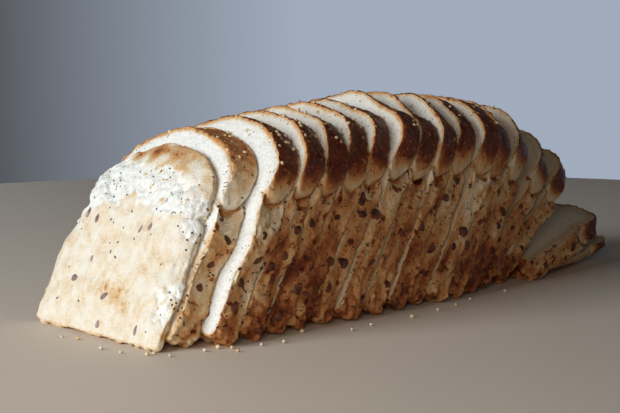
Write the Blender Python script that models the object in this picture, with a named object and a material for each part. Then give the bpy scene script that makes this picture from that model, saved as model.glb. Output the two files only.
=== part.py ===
"""Sliced tin loaf with seeds: a leaning row of slices, and two slumped ones behind it.

Local directions of a slice: u runs across it, toward the side that the photo
shows, v runs up it from its bottom, and w runs through its thickness, from its
rear face toward the front heel.
"""
import math
import random

import bmesh
import bpy
from mathutils import Matrix, Vector

# Outline of a whole slice
FOOT_HALF = 0.0466
WALL_HALF = 0.0470
CREASE_HALF = 0.0442
DOME_HALF = 0.0458
WALL_TOP = 0.0660
CREASE_UP = 0.0705
DOME_SPRING = 0.0840
SLICE_HEIGHT = 0.1105
CORNER = 0.0032
NEAR_POWER = 1.95
FAR_POWER = 1.68
HEEL_FAR_POWER = 1.45
HEEL_WALL_BULGE = 0.0034

# Slices and the row
THICK = 0.0126
SLUMPED_THICK = 0.0120
GAP = 0.0004
LAST_STANDING = 16
BACK_SLUMPED = 17
BACK_HEEL = 18

# One row for each slice: lean from upright in degrees, shift toward -Y, and the height
# share of its front face and of its rear face
SLICES = (
    (29.4, -0.0110, 0.868, 0.868), (29.4, -0.0074, 0.885, 0.945),
    (29.6, 0.0021, 0.943, 0.975), (29.6, 0.0023, 0.970, 0.985),
    (29.4, 0.0015, 0.983, 0.993), (29.7, 0.0001, 0.998, 1.016),
    (29.6, -0.0009, 1.012, 1.033), (28.8, 0.0009, 1.032, 1.054),
    (27.2, 0.0012, 1.010, 1.014), (26.4, 0.0022, 1.008, 1.010),
    (27.4, -0.0002, 1.007, 1.022), (29.7, 0.0013, 1.007, 1.036),
    (29.7, 0.0004, 0.990, 0.975), (33.8, -0.0020, 0.986, 0.950),
    (45.0, -0.0066, 0.949, 0.915), (52.0, -0.0101, 0.902, 0.895),
    (76.4, -0.0040, 0.810, 0.800), (84.0, -0.0110, 0.750, 0.750),
)
WIDTH_FOLLOWS_HEIGHT = 0.65

# Heels: a wedge, thin at the foot, whose dome rounds over to its rim
HEEL_RIM = 0.0026
FRONT_HEEL_FOOT = 0.0036
BACK_HEEL_FOOT = 0.0053
HEEL_SLOPE = 0.105
WALL_POWER = 9.0
CROWN_POWER = 2.4
CROWN_FROM = math.radians(32)
CROWN_SOFT = math.radians(18)
HEEL_RINGS = (0.97, 0.90, 0.76, 0.42)

# Unevenness of the crust, as waves round the outline and along the loaf
WAVE_SEED = 41
WAVE_COUNT = 7
WAVE_DEPTH = 0.00032
WAVE_AROUND = (2, 11)
WAVE_ALONG = (30.0, 150.0)

# Big seeds fused to the crust
SEED_LENGTH = (0.0023, 0.0037)
SEED_WIDTH = (0.0015, 0.0022)
SEED_PROUD = (0.0009, 0.0013)
SEED_CLEAR = 0.0005
SEEDS_A_SIDE = 4
SEEDS_ON_DOME = 2
SEEDS_ON_BACK_HEEL = 9
SEED_SPACING = 0.0075
SEED_SIDES = 6
SEED_BANDS = 4

# Seeds in the front heel: u, v, half length, half width, turn in degrees from u
FRONT_HEEL_SEEDS = (
    (-0.0256, 0.0230, 0.0021, 0.0018, 10), (0.0016, 0.0181, 0.0024, 0.0014, 42),
    (-0.0313, 0.0543, 0.0026, 0.0012, 78), (-0.0229, 0.0522, 0.0025, 0.0012, 84),
    (0.0178, 0.0520, 0.0023, 0.0011, 80), (0.0022, 0.0050, 0.0019, 0.0012, 95),
    (0.0299, 0.0062, 0.0024, 0.0011, 85), (-0.0167, 0.0333, 0.0018, 0.0010, 82),
    (0.0119, 0.0503, 0.0020, 0.0009, 70),
)
HEEL_SEED_PROUD = 0.0008

BREAD_COLOR = (0.62, 0.42, 0.22, 1.0)
BREAD_ROUGHNESS = 0.85

CORNER_STEPS = 3
WALL_STEPS = 5
DOME_STEPS = 9
THICKNESS_ROWS = 2


def clear_scene():
    for item in list(bpy.data.objects):
        bpy.data.objects.remove(item, do_unlink=True)


def wave_table():
    """Seeded waves that the crust's unevenness is made of."""
    rng = random.Random(WAVE_SEED)
    waves = []
    for _ in range(WAVE_COUNT):
        around = rng.randint(*WAVE_AROUND)
        along = rng.uniform(*WAVE_ALONG)
        waves.append((around, along, rng.uniform(0, math.tau)))
    return waves


WAVES = wave_table()


def unevenness(angle, along):
    """Height of the crust over its smooth outline, at a place on the loaf."""
    total = 0.0
    for around, pace, phase in WAVES:
        total += math.sin(around * angle + pace * along + phase)
    return WAVE_DEPTH * total


def half_outline(power):
    """Outline of half a whole slice, from its bottom's middle up to its crest."""
    points = [(0.0, 0.0), (FOOT_HALF * 0.34, 0.0), (FOOT_HALF * 0.66, 0.0)]
    for step in range(CORNER_STEPS + 1):
        turn = math.pi / 2 * step / CORNER_STEPS
        across = FOOT_HALF - CORNER + CORNER * math.sin(turn)
        points.append((across, CORNER - CORNER * math.cos(turn)))
    for step in range(1, WALL_STEPS + 1):
        share = step / WALL_STEPS
        across = FOOT_HALF + (WALL_HALF - FOOT_HALF) * math.sin(math.pi / 2 * share)
        points.append((across, CORNER + (WALL_TOP - CORNER) * share))
    points.append((CREASE_HALF, CREASE_UP))
    points.append(((CREASE_HALF + DOME_HALF) / 2 + 0.0006, CREASE_UP + 0.004))
    for step in range(DOME_STEPS + 1):
        turn = math.pi / 2 * step / DOME_STEPS
        across = DOME_HALF * max(math.cos(turn), 0.0) ** (2 / power)
        rise = (SLICE_HEIGHT - DOME_SPRING) * math.sin(turn) ** (2 / power)
        points.append((across, DOME_SPRING + rise))
    return points


def share_at(number, w):
    """Height share of a slice at a place in its thickness: the loaf tapers to its ends."""
    thick = SLUMPED_THICK if number == BACK_SLUMPED else THICK
    front, rear = SLICES[number - 1][2:]
    return rear + (front - rear) * min(max(w / thick, 0.0), 1.0)


def outline(number, w):
    """Smooth outline of a slice at one place in its thickness, against the clock."""
    share = share_at(number, w)

    def shrunk(u, v):
        narrow = (1 - share) * WIDTH_FOLLOWS_HEIGHT * min(v / DOME_SPRING, 1.0)
        return u * (1 - narrow), v * share

    near = [shrunk(u, v) for u, v in half_outline(NEAR_POWER)]
    far_half = half_outline(HEEL_FAR_POWER if number == 1 else FAR_POWER)
    far = [shrunk(-u, v) for u, v in far_half]
    if number == 1:
        for spot, (u, v) in enumerate(far):
            height = min(v / (WALL_TOP * share), 1.0)
            far[spot] = (u - HEEL_WALL_BULGE * math.sin(math.pi * height), v)
    return near + far[-2:0:-1]


def middle_of(number):
    return Vector((0.0, SLICE_HEIGHT * SLICES[number - 1][2] * 0.5))


def uneven_point(number, u, v, w):
    """A point of the outline, moved out from the slice's middle by the crust's unevenness."""
    middle = middle_of(number)
    arm = Vector((u, v)) - middle
    lift = unevenness(math.atan2(arm.y, arm.x), number * THICK + w)
    if v < CORNER * 0.5:
        lift = min(lift, 0.0) * 0.5
        return Vector((u, max(v - lift, 0.0)))
    return middle + arm * (1 + lift / arm.length)


def heel_depth(number, flat, ring):
    """Thickness of a heel at a point, and at its share of the way out to the rim."""
    foot = FRONT_HEEL_FOOT if number == 1 else BACK_HEEL_FOOT
    full = foot + HEEL_SLOPE * flat.y
    arm = flat - middle_of(number)
    crown = (math.atan2(arm.y, abs(arm.x)) - CROWN_FROM) / CROWN_SOFT
    crown = min(max(crown + 0.5, 0.0), 1.0)
    power = WALL_POWER + (CROWN_POWER - WALL_POWER) * crown
    rim = min(HEEL_RIM, foot * 0.8)
    return rim + (full - rim) * (1 - ring ** power)


def rim_points(number, w):
    points = []
    for u, v in outline(number, w):
        rim = uneven_point(number, u, v, w)
        points.append(Vector((rim.x, rim.y, w)))
    return points


def heel_points(number, ring):
    """Ring on the crust of a heel, at its own thickness over the crumb face."""
    middle = middle_of(number)
    points = []
    for u, v in outline(number, 0.0):
        rim = uneven_point(number, u, v, HEEL_RIM)
        flat = middle + (rim - middle) * ring
        points.append(Vector((flat.x, flat.y, heel_depth(number, flat, ring))))
    return points


def slice_rings(number):
    """Rings of points from the rear face's middle to the front face's middle."""
    if number in (1, BACK_HEEL):
        tip = heel_depth(number, middle_of(number), 0.0)
        rings = [rim_points(number, 0.0), heel_points(number, 1.0)]
        rings += [heel_points(number, ring) for ring in HEEL_RINGS]
        if number == 1:
            return rings, 0.0, tip
        for ring in rings:
            for point in ring:
                point.z = -point.z
        return rings[::-1], -tip, 0.0
    thick = SLUMPED_THICK if number == BACK_SLUMPED else THICK
    rows = [thick * row / THICKNESS_ROWS for row in range(THICKNESS_ROWS + 1)]
    return [rim_points(number, w) for w in rows], 0.0, thick


def mesh_from_rings(name, rings, rear, front, number):
    """Closed skin over the rings, with a fan of triangles on each end."""
    sheet = bmesh.new()
    middle = middle_of(number)
    loops = [[sheet.verts.new(point) for point in ring] for ring in rings]
    rear_tip = sheet.verts.new((middle.x, middle.y, rear))
    front_tip = sheet.verts.new((middle.x, middle.y, front))
    count = len(loops[0])
    for low, high in zip(loops, loops[1:]):
        for spot in range(count):
            after = (spot + 1) % count
            sheet.faces.new((low[spot], low[after], high[after], high[spot]))
    for spot in range(count):
        after = (spot + 1) % count
        sheet.faces.new((rear_tip, loops[0][after], loops[0][spot]))
        sheet.faces.new((front_tip, loops[-1][spot], loops[-1][after]))
    bmesh.ops.triangulate(sheet, faces=sheet.faces[:])
    bmesh.ops.recalc_face_normals(sheet, faces=sheet.faces[:])
    mesh = bpy.data.meshes.new(name)
    sheet.to_mesh(mesh)
    sheet.free()
    return mesh


def seed_spots(number):
    """Seeded places for the big seeds: point, way out, length, width, height, turn."""
    rng = random.Random(500 + number)
    thick = SLUMPED_THICK if number == BACK_SLUMPED else THICK
    heel = number in (1, BACK_HEEL)
    middle = middle_of(number)
    spots = []

    def far_enough(place):
        return all((place - other[0]).length > SEED_SPACING for other in spots)

    def sizes():
        return rng.uniform(*SEED_LENGTH), rng.uniform(*SEED_WIDTH), rng.uniform(*SEED_PROUD)

    def try_rim(low, high, side, small):
        index = side * rng.randint(low, high)
        length, width, proud = (part * small for part in sizes())
        turn = rng.uniform(0, math.pi)
        reach = math.hypot(length * math.sin(turn), width * math.cos(turn)) + SEED_CLEAR
        if 2 * reach > thick:
            return
        w = rng.uniform(reach, thick - reach)
        u, v = outline(number, w)[index]
        flat = uneven_point(number, u, v, w)
        place = Vector((flat.x, flat.y, w))
        out = Vector((flat.x, (flat.y - middle.y) * 0.25, 0.0)).normalized()
        if v > DOME_SPRING * share_at(number, w):
            out = Vector((flat.x, flat.y - middle.y, 0.0)).normalized()
        if far_enough(place):
            spots.append((place, out, length, width, proud, turn))

    if not heel:
        wall_from = 3 + CORNER_STEPS + 1
        wall_to = wall_from + WALL_STEPS - 1
        dome_from = wall_to + 4
        dome_to = dome_from + DOME_STEPS - 2
        for side in (1, -1):
            for _ in range(SEEDS_A_SIDE):
                try_rim(wall_from, wall_to, side, 1.0)
            for _ in range(SEEDS_ON_DOME):
                try_rim(dome_from, dome_to, side, 0.62)
        return spots
    if number == 1:
        for u, v, length, width, degrees in FRONT_HEEL_SEEDS:
            flat = Vector((u, v))
            arm = (flat - middle).length
            ring = arm / (SLICES[0][2] * SLICE_HEIGHT * 0.5)
            place = Vector((u, v, heel_depth(1, flat, min(ring, 1.0))))
            turn = math.radians(degrees)
            spots.append((place, Vector((0, 0, 1)), length, width, HEEL_SEED_PROUD, turn))
        return spots
    for _ in range(SEEDS_ON_BACK_HEEL):
        angle = rng.uniform(0, math.tau)
        ring = math.sqrt(rng.uniform(0.0, 0.66))
        reach = SLICES[number - 1][2] * FOOT_HALF * ring
        flat = middle + Vector((math.cos(angle), math.sin(angle))) * reach
        length, width, proud = sizes()
        place = Vector((flat.x, flat.y, -heel_depth(number, flat, ring)))
        out = Vector((0, 0, -1))
        if far_enough(place):
            spots.append((place, out, length, width, proud, rng.uniform(0, math.pi)))
    return spots


def seed_object(name, spot):
    place, out, length, width, proud, turn = spot
    sheet = bmesh.new()
    bmesh.ops.create_uvsphere(
        sheet, u_segments=SEED_SIDES, v_segments=SEED_BANDS, radius=1.0)
    bmesh.ops.triangulate(sheet, faces=sheet.faces[:])
    through = Vector((0, 0, 1)) if abs(out.z) < 0.5 else Vector((0, 1, 0))
    along = through.cross(out).normalized()
    side = out.cross(along)
    frame = Matrix((along, side, out)).transposed().to_4x4()
    spin = Matrix.Rotation(turn, 4, "Z")
    size = Matrix.Diagonal((length, width, proud, 1.0))
    bmesh.ops.transform(
        sheet, matrix=Matrix.Translation(place) @ frame @ spin @ size, verts=sheet.verts[:])
    mesh = bpy.data.meshes.new(name)
    sheet.to_mesh(mesh)
    sheet.free()
    return bpy.data.objects.new(name, mesh)


def fuse_seeds(body, number):
    """Join the slice's big seeds to it, so that slice and seeds are one solid."""
    group = bpy.data.collections.new("seed_cutters")
    bpy.context.scene.collection.children.link(group)
    for index, spot in enumerate(seed_spots(number)):
        group.objects.link(seed_object(f"seed_{index}", spot))
    joiner = body.modifiers.new("fuse", "BOOLEAN")
    joiner.operation = "UNION"
    joiner.operand_type = "COLLECTION"
    joiner.collection = group
    joiner.solver = "EXACT"
    graph = bpy.context.evaluated_depsgraph_get()
    fused = bpy.data.meshes.new_from_object(body.evaluated_get(graph))
    body.modifiers.remove(joiner)
    body.data = fused
    for seed in list(group.objects):
        bpy.data.objects.remove(seed, do_unlink=True)
    bpy.data.collections.remove(group)


def stand_points():
    """X of the rear bottom edge of each slice, from the lean of its neighbours."""
    places = [0.0]
    for number in range(2, LAST_STANDING + 1):
        before = math.radians(SLICES[number - 2][0])
        lean = math.radians(SLICES[number - 1][0])
        step = THICK * (math.cos(lean) + math.sin(lean) * math.tan(before))
        if before > lean:
            height = SLICE_HEIGHT * SLICES[number - 2][3] + WAVE_DEPTH * 2
            top = height * math.sin(before)
            level = height * math.cos(before)
            step = top + THICK * math.cos(lean)
            step -= (level - THICK * math.sin(lean)) * math.tan(lean)
        places.append(places[-1] + step + GAP / math.cos(lean))
    return places


def slice_places():
    places = stand_points()
    last = math.radians(SLICES[LAST_STANDING - 1][0])
    lean = math.radians(SLICES[BACK_SLUMPED - 1][0])
    corner_up = SLUMPED_THICK * math.sin(lean)
    slumped = places[-1] + corner_up * math.tan(last) + SLUMPED_THICK * math.cos(lean)
    places.append(slumped + GAP * 2)
    places.append(places[-1] + BACK_HEEL_FOOT * math.tan(lean) + GAP * 3)
    return places


PLACES = slice_places()


def to_loaf(number):
    """Matrix from a slice's own u, v and w to the loaf's X, Y and Z."""
    lean = math.radians(SLICES[number - 1][0])
    sine = math.sin(lean)
    cosine = math.cos(lean)
    lift = BACK_HEEL_FOOT if number == BACK_HEEL else 0.0
    return Matrix((
        (0.0, sine, -cosine, PLACES[number - 1]),
        (-1.0, 0.0, 0.0, -SLICES[number - 1][1]),
        (0.0, cosine, sine, lift),
        (0.0, 0.0, 0.0, 1.0),
    ))


def bread_material(name):
    material = bpy.data.materials.new(name)
    material.use_nodes = True
    shader = material.node_tree.nodes["Principled BSDF"]
    shader.inputs["Base Color"].default_value = BREAD_COLOR
    shader.inputs["Roughness"].default_value = BREAD_ROUGHNESS
    return material


def make_slice(number):
    name = f"slice_{number:02d}"
    rings, rear, front = slice_rings(number)
    body = bpy.data.objects.new(name, mesh_from_rings(name, rings, rear, front, number))
    bpy.context.scene.collection.objects.link(body)
    fuse_seeds(body, number)
    body.data.transform(to_loaf(number))
    for vertex in body.data.vertices:
        vertex.co.z = max(vertex.co.z, 0.0)
    body.data.materials.clear()
    body.data.materials.append(bread_material(f"bread_{number:02d}"))
    return body


def center_on_floor(bodies):
    """Move the loaf so that its box stands on z = 0 with its middle at the origin."""
    spots = [vertex.co for body in bodies for vertex in body.data.vertices]
    low = [min(spot[axis] for spot in spots) for axis in range(3)]
    high = [max(spot[axis] for spot in spots) for axis in range(3)]
    shift = Vector((-(low[0] + high[0]) / 2, -(low[1] + high[1]) / 2, -low[2]))
    for body in bodies:
        body.data.transform(Matrix.Translation(shift))
    print("shift", [round(value, 5) for value in shift])
    print("size", [round(high[axis] - low[axis], 5) for axis in range(3)])


def main():
    clear_scene()
    bodies = [make_slice(number) for number in range(1, BACK_HEEL + 1)]
    center_on_floor(bodies)
    total = 0
    for body in bodies:
        body.data.calc_loop_triangles()
        total += len(body.data.loop_triangles)
        print(body.name, len(body.data.loop_triangles), "triangles")
    print("all", total, "triangles")


main()
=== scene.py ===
# %% [markdown]
# # A sliced tin loaf with seeds
# The loaf is white inside, full of small dark seeds, and was baked in a lidless tin: its walls
# are flat and tan, and its top has risen over the tin's rim as a dark, shiny dome. It is sliced,
# and the slices lean back on each other like a row of books, with the last two slumped flat.
# The CAD model has one solid for each slice. Here each solid gets a much finer skin of the same
# size in the same place, so that crust, crumb and seeds can be shown as they are.

# %% Load the frame
import math
import random

import bpy
import numpy as np
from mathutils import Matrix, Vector
from mathutils.bvhtree import BVHTree


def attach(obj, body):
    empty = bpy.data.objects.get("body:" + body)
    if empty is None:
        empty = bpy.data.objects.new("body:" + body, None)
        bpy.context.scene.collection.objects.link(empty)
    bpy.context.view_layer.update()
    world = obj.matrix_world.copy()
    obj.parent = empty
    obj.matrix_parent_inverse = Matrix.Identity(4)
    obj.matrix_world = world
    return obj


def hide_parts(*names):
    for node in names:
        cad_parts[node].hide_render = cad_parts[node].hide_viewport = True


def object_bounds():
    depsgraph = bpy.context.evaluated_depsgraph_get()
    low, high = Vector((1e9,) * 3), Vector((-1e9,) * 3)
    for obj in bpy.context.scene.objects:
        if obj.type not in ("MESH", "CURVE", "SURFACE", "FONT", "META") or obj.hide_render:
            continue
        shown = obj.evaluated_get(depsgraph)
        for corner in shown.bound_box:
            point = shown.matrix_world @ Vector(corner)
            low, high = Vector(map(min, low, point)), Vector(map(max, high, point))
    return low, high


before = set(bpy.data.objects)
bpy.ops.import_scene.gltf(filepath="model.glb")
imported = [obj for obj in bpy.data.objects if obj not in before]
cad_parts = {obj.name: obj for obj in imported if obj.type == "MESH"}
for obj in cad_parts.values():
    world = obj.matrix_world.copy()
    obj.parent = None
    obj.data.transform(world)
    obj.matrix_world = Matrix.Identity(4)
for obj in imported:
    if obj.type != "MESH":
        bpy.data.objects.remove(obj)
cad_low, cad_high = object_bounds()
print("CAD box", [round(value, 4) for value in (*cad_low, *cad_high)])

# %% [markdown]
# The camera stands low before the loaf's end, a little over half a metre away, and looks down by
# seven degrees. A long lens keeps the far slices large. Its place was solved from the corners of
# the slices, so it is typed in as numbers and not aimed by eye.

# %% Camera
EYE = Vector((-0.5264, -0.4949, 0.1334))
YAW = math.radians(46.11)
PITCH = math.radians(7.05)
SENSOR = 36.0
PICTURE_WIDE = 620
PICTURE_HIGH = 413
FOCAL_PIXELS = 1363.4
NEAREST = 0.05

look = Vector((math.cos(YAW) * math.cos(PITCH), math.sin(YAW) * math.cos(PITCH), -math.sin(PITCH)))
camera_data = bpy.data.cameras.new("camera")
camera_data.sensor_width = SENSOR
camera_data.lens = FOCAL_PIXELS * SENSOR / PICTURE_WIDE
camera_data.clip_start = NEAREST
camera = bpy.data.objects.new("camera", camera_data)
camera.location = EYE
camera.rotation_euler = look.to_track_quat("-Z", "Y").to_euler()
bpy.context.scene.collection.objects.link(camera)
bpy.context.scene.camera = camera
print("lens", round(camera_data.lens, 1), "mm")

# %% [markdown]
# Daylight comes from a large window on the left, not far above the floor. It makes the front heel
# almost white and catches the rims of the domes, each slice shades the foot of the crumb behind
# it, and the long wall stays in a soft warm shade. A large area light gives such soft edges, a
# weaker warm one fills the shade from the near side, a third keeps the far side from going black,
# and grey surroundings fill what is left. A small class keeps the wiring of nodes short, here and
# in the materials.

# %% Helpers for nodes
class Board:
    """Nodes of a material or of the surroundings, each made and wired in one line."""

    def __init__(self, tree):
        self.tree = tree

    def wire(self, value, socket):
        if isinstance(value, bpy.types.NodeSocket):
            self.tree.links.new(value, socket)
        else:
            socket.default_value = value

    def put(self, kind, **sockets):
        """A new node with values or wires in its named inputs."""
        node = self.tree.nodes.new("ShaderNode" + kind)
        for name, value in sockets.items():
            self.wire(value, node.inputs[name.replace("_", " ")])
        return node

    def attribute(self, name, output="Fac"):
        node = self.put("Attribute")
        node.attribute_name = name
        return node.outputs[output]

    def math(self, operation, first, second=0.0, clamp=False):
        node = self.put("Math")
        node.operation = operation
        node.use_clamp = clamp
        self.wire(first, node.inputs[0])
        self.wire(second, node.inputs[1])
        return node.outputs[0]

    def add_scaled(self, base, extra, scale):
        """base + extra * scale"""
        return self.math("ADD", base, self.math("MULTIPLY", extra, scale))

    def stretch(self, vector, scale):
        return self.put("Mapping", Vector=vector, Scale=scale).outputs["Vector"]

    def part(self, vector, axis):
        return self.put("SeparateXYZ", Vector=vector).outputs[axis]

    def noise(self, vector, scale, detail=3.0, roughness=0.55):
        node = self.put("TexNoise", Vector=vector, Scale=scale, Detail=detail, Roughness=roughness)
        return node.outputs["Fac"]

    def cells(self, vector, scale):
        return self.put("TexVoronoi", Vector=vector, Scale=scale).outputs["Distance"]

    def spread(self, value, low, high, to_low=0.0, to_high=1.0):
        node = self.put("MapRange", Value=value, From_Min=low, From_Max=high)
        node.interpolation_type = "SMOOTHSTEP"
        self.wire(to_low, node.inputs["To Min"])
        self.wire(to_high, node.inputs["To Max"])
        return node.outputs["Result"]

    def ramp(self, value, stops):
        node = self.put("ValToRGB", Fac=value)
        elements = node.color_ramp.elements
        while len(elements) < len(stops):
            elements.new(0.5)
        for element, (place, color) in zip(elements, stops):
            element.position = place
            element.color = (*color, 1.0)
        return node.outputs["Color"]

    def blend(self, share, first, second):
        node = self.put("Mix")
        node.data_type = "RGBA"
        colors = [socket for socket in node.inputs if socket.type == "RGBA"]
        self.wire(share, node.inputs[0])
        self.wire(first, colors[0])
        self.wire(second, colors[1])
        return [socket for socket in node.outputs if socket.type == "RGBA"][0]

    def bump(self, height, distance, strength=1.0, under=None):
        node = self.put("Bump", Height=height, Distance=distance, Strength=strength)
        if under:
            self.tree.links.new(under, node.inputs["Normal"])
        return node.outputs["Normal"]


print("node helpers ready")

# %% Light
WINDOW_COLOR = (0.90, 0.97, 1.03)
WARM_COLOR = (1.0, 0.86, 0.70)
WARM_SPREAD = math.radians(60)
GREY_STOPS = ((0.50, (0.075, 0.078, 0.085)), (0.69, (0.355, 0.41, 0.50)))
OVERHEAD_STOPS = ((0.05, (1.0, 1.0, 1.0)), (0.35, (0.14, 0.14, 0.14)))


def area_light(name, place, aim, size, power, color):
    data = bpy.data.lights.new(name, "AREA")
    data.shape = "SQUARE"
    data.size = size
    data.energy = power
    data.color = color
    light = bpy.data.objects.new(name, data)
    light.location = place
    light.rotation_euler = (Vector(aim) - Vector(place)).to_track_quat("-Z", "Y").to_euler()
    bpy.context.scene.collection.objects.link(light)
    return light


def surroundings():
    """Plain grey all round, brighter on the right and dim overhead."""
    world = bpy.data.worlds.new("surroundings")
    world.use_nodes = True
    board = Board(world.node_tree)
    way = board.put("TexCoord").outputs["Generated"]
    sides = board.ramp(board.part(way, "X"), GREY_STOPS)
    overhead = board.ramp(board.part(way, "Z"), OVERHEAD_STOPS)
    both = board.put("VectorMath")
    both.operation = "MULTIPLY"
    board.wire(sides, both.inputs[0])
    board.wire(overhead, both.inputs[1])
    board.wire(both.outputs[0], world.node_tree.nodes["Background"].inputs["Color"])
    return world


# Name, place, aim, size in metres, power in watts and color
LIGHTS = (
    ("window", (-1.36, 0.16, 0.50), (-0.06, 0.0, 0.05), 0.8, 18.0, WINDOW_COLOR),
    ("warm", (-0.64, -0.50, 0.28), (-0.26, -0.10, 0.04), 0.3, 0.19, WARM_COLOR),
    ("far side", (0.25, 1.30, 0.28), (0.0, 0.0, 0.05), 0.8, 1.3, WINDOW_COLOR),
)
lights = {row[0]: area_light(*row) for row in LIGHTS}
lights["warm"].data.spread = WARM_SPREAD
bpy.context.scene.world = surroundings()
bpy.context.scene.view_settings.view_transform = "Standard"
print("lights", len(lights))

# %% [markdown]
# Under the loaf is a plain pale disc. It ends behind the loaf, so that the dark domes stand
# against a calm grey.

# %% Floor
FLOOR_RADIUS = 0.62
FLOOR_SIDES = 128
FLOOR_COLOR = (0.74, 0.63, 0.52, 1.0)
FLOOR_ROUGHNESS = 0.7


def new_material(name):
    material = bpy.data.materials.new(name)
    material.use_nodes = True
    return material, Board(material.node_tree), material.node_tree.nodes["Principled BSDF"].inputs


floor_paint, _, paint = new_material("floor_paint")
paint["Base Color"].default_value = FLOOR_COLOR
paint["Roughness"].default_value = FLOOR_ROUGHNESS
rim = []
for step in range(FLOOR_SIDES):
    turn = math.tau * step / FLOOR_SIDES
    rim.append((FLOOR_RADIUS * math.cos(turn), FLOOR_RADIUS * math.sin(turn), 0.0))
floor_mesh = bpy.data.meshes.new("floor")
floor_mesh.from_pydata(rim, [], [list(range(FLOOR_SIDES))])
floor_mesh.materials.append(floor_paint)
floor = bpy.data.objects.new("floor", floor_mesh)
bpy.context.scene.collection.objects.link(floor)
print("floor", FLOOR_RADIUS * 2, "m across")

# %% [markdown]
# ## The shape of a slice
# These are the measures that the solids were made from. A whole slice has a flat foot, walls
# that open a little, a crease where the dough came over the tin's rim, and a dome. Each slice
# has its own lean, its own shift to the side and its own height, and because the loaf tapers to
# its ends, the rear face of a slice is a little taller or lower than its front face.

# %% Measures
FOOT_HALF = 0.0466
WALL_HALF = 0.0470
CREASE_HALF = 0.0442
DOME_HALF = 0.0458
WALL_TOP = 0.0660
CREASE_UP = 0.0705
DOME_SPRING = 0.0840
SLICE_HEIGHT = 0.1105
CORNER = 0.0032
FOOT_STOPS = (0.0, 0.34, 0.66)
TUCK_OUT = 0.0006
TUCK_UP = 0.004
NEAR_POWER = 1.95
FAR_POWER = 1.68
HEEL_FAR_POWER = 1.45
HEEL_WALL_BULGE = 0.0034
THICK = 0.0126
SLUMPED_THICK = 0.0120
GAP = 0.0004
LAST_STANDING = 16
BACK_SLUMPED = 17
BACK_HEEL = 18
WIDTH_FOLLOWS_HEIGHT = 0.65

# One row for each slice: lean from upright in degrees, shift toward -Y, and the height
# share of its front face and of its rear face
SLICES = (
    (29.4, -0.0110, 0.868, 0.868), (29.4, -0.0074, 0.885, 0.945),
    (29.6, 0.0021, 0.943, 0.975), (29.6, 0.0023, 0.970, 0.985),
    (29.4, 0.0015, 0.983, 0.993), (29.7, 0.0001, 0.998, 1.016),
    (29.6, -0.0009, 1.012, 1.033), (28.8, 0.0009, 1.032, 1.054),
    (27.2, 0.0012, 1.010, 1.014), (26.4, 0.0022, 1.008, 1.010),
    (27.4, -0.0002, 1.007, 1.022), (29.7, 0.0013, 1.007, 1.036),
    (29.7, 0.0004, 0.990, 0.975), (33.8, -0.0020, 0.986, 0.950),
    (45.0, -0.0066, 0.949, 0.915), (52.0, -0.0101, 0.902, 0.895),
    (76.4, -0.0040, 0.810, 0.800), (84.0, -0.0110, 0.750, 0.750),
)
NUMBERS = range(1, BACK_HEEL + 1)
print(len(SLICES), "slices")

# %% Outline of a slice
CAD_STEPS = (3, 5, 9)
FINE_STEPS = (10, 60, 80)
AROUND = 420


def half_outline(power, steps):
    """Half a whole slice, from its bottom's middle up to its crest."""
    corner_steps, wall_steps, dome_steps = steps
    points = [(FOOT_HALF * stop, 0.0) for stop in FOOT_STOPS]
    for step in range(corner_steps + 1):
        turn = math.pi / 2 * step / corner_steps
        across = FOOT_HALF - CORNER + CORNER * math.sin(turn)
        points.append((across, CORNER - CORNER * math.cos(turn)))
    for step in range(1, wall_steps + 1):
        share = step / wall_steps
        across = FOOT_HALF + (WALL_HALF - FOOT_HALF) * math.sin(math.pi / 2 * share)
        points.append((across, CORNER + (WALL_TOP - CORNER) * share))
    points.append((CREASE_HALF, CREASE_UP))
    points.append(((CREASE_HALF + DOME_HALF) / 2 + TUCK_OUT, CREASE_UP + TUCK_UP))
    for step in range(dome_steps + 1):
        turn = math.pi / 2 * step / dome_steps
        across = DOME_HALF * max(math.cos(turn), 0.0) ** (2 / power)
        rise = (SLICE_HEIGHT - DOME_SPRING) * math.sin(turn) ** (2 / power)
        points.append((across, DOME_SPRING + rise))
    return points


def thickness(number):
    return SLUMPED_THICK if number == BACK_SLUMPED else THICK


def share_at(number, w):
    """Height share of a slice at a place in its thickness."""
    front, rear = SLICES[number - 1][2:]
    return rear + (front - rear) * min(max(w / thickness(number), 0.0), 1.0)


def outline(number, w, steps):
    """A slice's outline at one place in its thickness, against the clock."""
    share = share_at(number, w)

    def shrunk(u, v):
        narrow = (1 - share) * WIDTH_FOLLOWS_HEIGHT * min(v / DOME_SPRING, 1.0)
        return u * (1 - narrow), v * share

    near = [shrunk(u, v) for u, v in half_outline(NEAR_POWER, steps)]
    far_power = HEEL_FAR_POWER if number == 1 else FAR_POWER
    far = [shrunk(-u, v) for u, v in half_outline(far_power, steps)]
    if number == 1:
        for spot, (u, v) in enumerate(far):
            height = min(v / (WALL_TOP * share), 1.0)
            far[spot] = (u - HEEL_WALL_BULGE * math.sin(math.pi * height), v)
    return near + far[-2:0:-1]


def even_outline(number, w):
    """The outline with its points evenly spaced, and its kinks rounded a little."""
    path = np.array(outline(number, w, FINE_STEPS))
    loop = np.vstack([path, path[:1]])
    steps = np.linalg.norm(np.diff(loop, axis=0), axis=1)
    reach = np.concatenate([[0.0], np.cumsum(steps)])
    spots = np.linspace(0.0, reach[-1], AROUND, endpoint=False)
    even = np.stack([np.interp(spots, reach, loop[:, axis]) for axis in (0, 1)], axis=1)
    return (np.roll(even, 1, axis=0) + 2 * even + np.roll(even, -1, axis=0)) / 4


first, second = even_outline(5, 0.0)[:2]
print("a point every", round(math.dist(first, second) * 1000, 2), "mm round a slice")

# %% [markdown]
# Crust is never flat. The larger unevenness is the same set of long waves that the solids have,
# and it runs on from slice to slice, because the loaf was whole when it baked. The finer lumps
# are sums of small seeded waves in all directions, which give soft random bumps of a chosen
# size and cost little time.

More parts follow.
